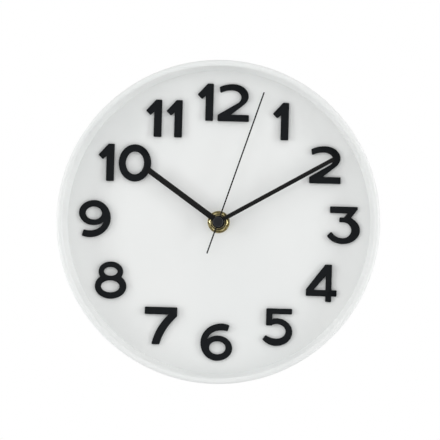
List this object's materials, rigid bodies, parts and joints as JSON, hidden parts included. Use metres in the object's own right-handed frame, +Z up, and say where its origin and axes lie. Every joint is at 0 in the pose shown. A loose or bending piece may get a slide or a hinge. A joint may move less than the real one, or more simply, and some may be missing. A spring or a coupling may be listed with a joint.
{
  "type": "wall clock",
  "caption": "Round wall clock with a dished white dial, raised black numerals, three straight black hands and a battery quartz movement behind the dial.",
  "frame": {"origin": "centre of the hanger's hook hole, on the hanger's wall side", "axes": "+Z up to twelve o'clock, +X to three o'clock as seen from the front, +Y back to the wall, so the dial faces -Y"},
  "size_m": [0.2, 0.036, 0.2],
  "materials": {
    "case_white": "satin white moulded plastic",
    "numeral_black": "black with a slight sheen",
    "hanger_steel": "zinc plated sheet",
    "rubber": "matt",
    "brass": "turned, slightly dull",
    "hand_black": "matt black paint",
    "cap_black": "satin black",
    "arbor_steel": "ground pin",
    "gear_cream": "moulded acetal",
    "gear_clear": "moulded nylon",
    "pipe_cream": "moulded acetal",
    "magnet": "sintered",
    "lamination": "bare soft iron sheet",
    "bobbin_blue": "moulded",
    "copper_wire": "enamelled copper wire",
    "knob_black": "moulded",
    "movement_black": "fine spark texture",
    "plate_white": "moulded",
    "screw_steel": "zinc plated",
    "board_green": "solder mask",
    "chip_black": "epoxy drop",
    "crystal_can": "plain can",
    "contact_steel": "nickel plated spring strip",
    "battery_sleeve": "plain sleeve with no print"
  },
  "bodies": {
    "clock": {"dial_bowl": "case_white", "numeral_1": "numeral_black", "numeral_2": "numeral_black", "numeral_3": "numeral_black", "numeral_4": "numeral_black", "numeral_5": "numeral_black", "numeral_6": "numeral_black", "numeral_7": "numeral_black", "numeral_8": "numeral_black", "numeral_9": "numeral_black", "numeral_10": "numeral_black", "numeral_11": "numeral_black", "numeral_12": "numeral_black", "hanger": "hanger_steel", "rubber_washer": "rubber", "brass_washer": "brass", "brass_nut": "brass", "front_case": "movement_black", "rear_cover": "movement_black", "train_plate": "plate_white", "plate_screws": "screw_steel", "circuit_board": "board_green", "chip": "chip_black", "crystal": "crystal_can", "contact_plus": "contact_steel", "contact_minus": "contact_steel", "stator": "lamination", "coil_core": "lamination", "coil_bobbin": "bobbin_blue", "coil_winding": "copper_wire"},
    "seconds": {"seconds_wheel": "gear_cream", "seconds_arbor": "arbor_steel", "second_hand": "hand_black", "hand_cap": "cap_black"},
    "minutes": {"minute_pipe": "pipe_cream", "minute_hand": "hand_black"},
    "hours": {"hour_wheel": "pipe_cream", "hour_hand": "hand_black"},
    "fifth": {"fifth_wheel": "gear_clear"},
    "third": {"third_wheel": "gear_cream"},
    "centre": {"centre_wheel": "pipe_cream"},
    "motion": {"minute_wheel": "gear_cream"},
    "rotor": {"rotor_pinion": "gear_clear", "rotor_magnet": "magnet"},
    "setter": {"setting_knob": "knob_black"},
    "cell": {"battery": "battery_sleeve"}
  },
  "joints": [
    {"name": "second_spin", "type": "hinge", "parent": "clock", "child": "seconds", "pos_m": [0, -0.016, -0.038], "axis": [0, 1, 0], "continuous": true},
    {"name": "rotor_spin", "type": "hinge", "parent": "clock", "child": "rotor", "pos_m": [-0.01573, -0.016, -0.02601], "axis": [0, 1, 0], "continuous": true},
    {"name": "fifth_spin", "type": "hinge", "parent": "clock", "child": "fifth", "pos_m": [-0.01159, -0.016, -0.03489], "axis": [0, 1, 0], "continuous": true},
    {"name": "third_spin", "type": "hinge", "parent": "clock", "child": "third", "pos_m": [0.00764, -0.016, -0.0289], "axis": [0, 1, 0], "continuous": true},
    {"name": "centre_spin", "type": "hinge", "parent": "clock", "child": "centre", "pos_m": [0, -0.016, -0.038], "axis": [0, 1, 0], "continuous": true},
    {"name": "minute_spin", "type": "hinge", "parent": "clock", "child": "minutes", "pos_m": [0, -0.016, -0.038], "axis": [0, 1, 0], "continuous": true},
    {"name": "motion_spin", "type": "hinge", "parent": "clock", "child": "motion", "pos_m": [0.00966, -0.016, -0.04059], "axis": [0, 1, 0], "continuous": true},
    {"name": "hour_spin", "type": "hinge", "parent": "clock", "child": "hours", "pos_m": [0, -0.016, -0.038], "axis": [0, 1, 0], "continuous": true},
    {"name": "knob_spin", "type": "hinge", "parent": "clock", "child": "setter", "pos_m": [0.01906, -0.016, -0.03717], "axis": [0, 1, 0], "continuous": true},
    {"name": "battery_slide", "type": "slide", "parent": "clock", "child": "cell", "axis": [0, 1, 0], "range_m": [0, 0.018]}
  ],
  "couplings": [
    {"joint": "rotor_spin", "follows": "second_spin", "ratio": 30},
    {"joint": "fifth_spin", "follows": "second_spin", "ratio": -5},
    {"joint": "third_spin", "follows": "second_spin", "ratio": -0.13333},
    {"joint": "centre_spin", "follows": "second_spin", "ratio": 0.016667},
    {"joint": "motion_spin", "follows": "minute_spin", "ratio": -0.33333},
    {"joint": "hour_spin", "follows": "minute_spin", "ratio": 0.083333},
    {"joint": "knob_spin", "follows": "minute_spin", "ratio": 1}
  ]
}
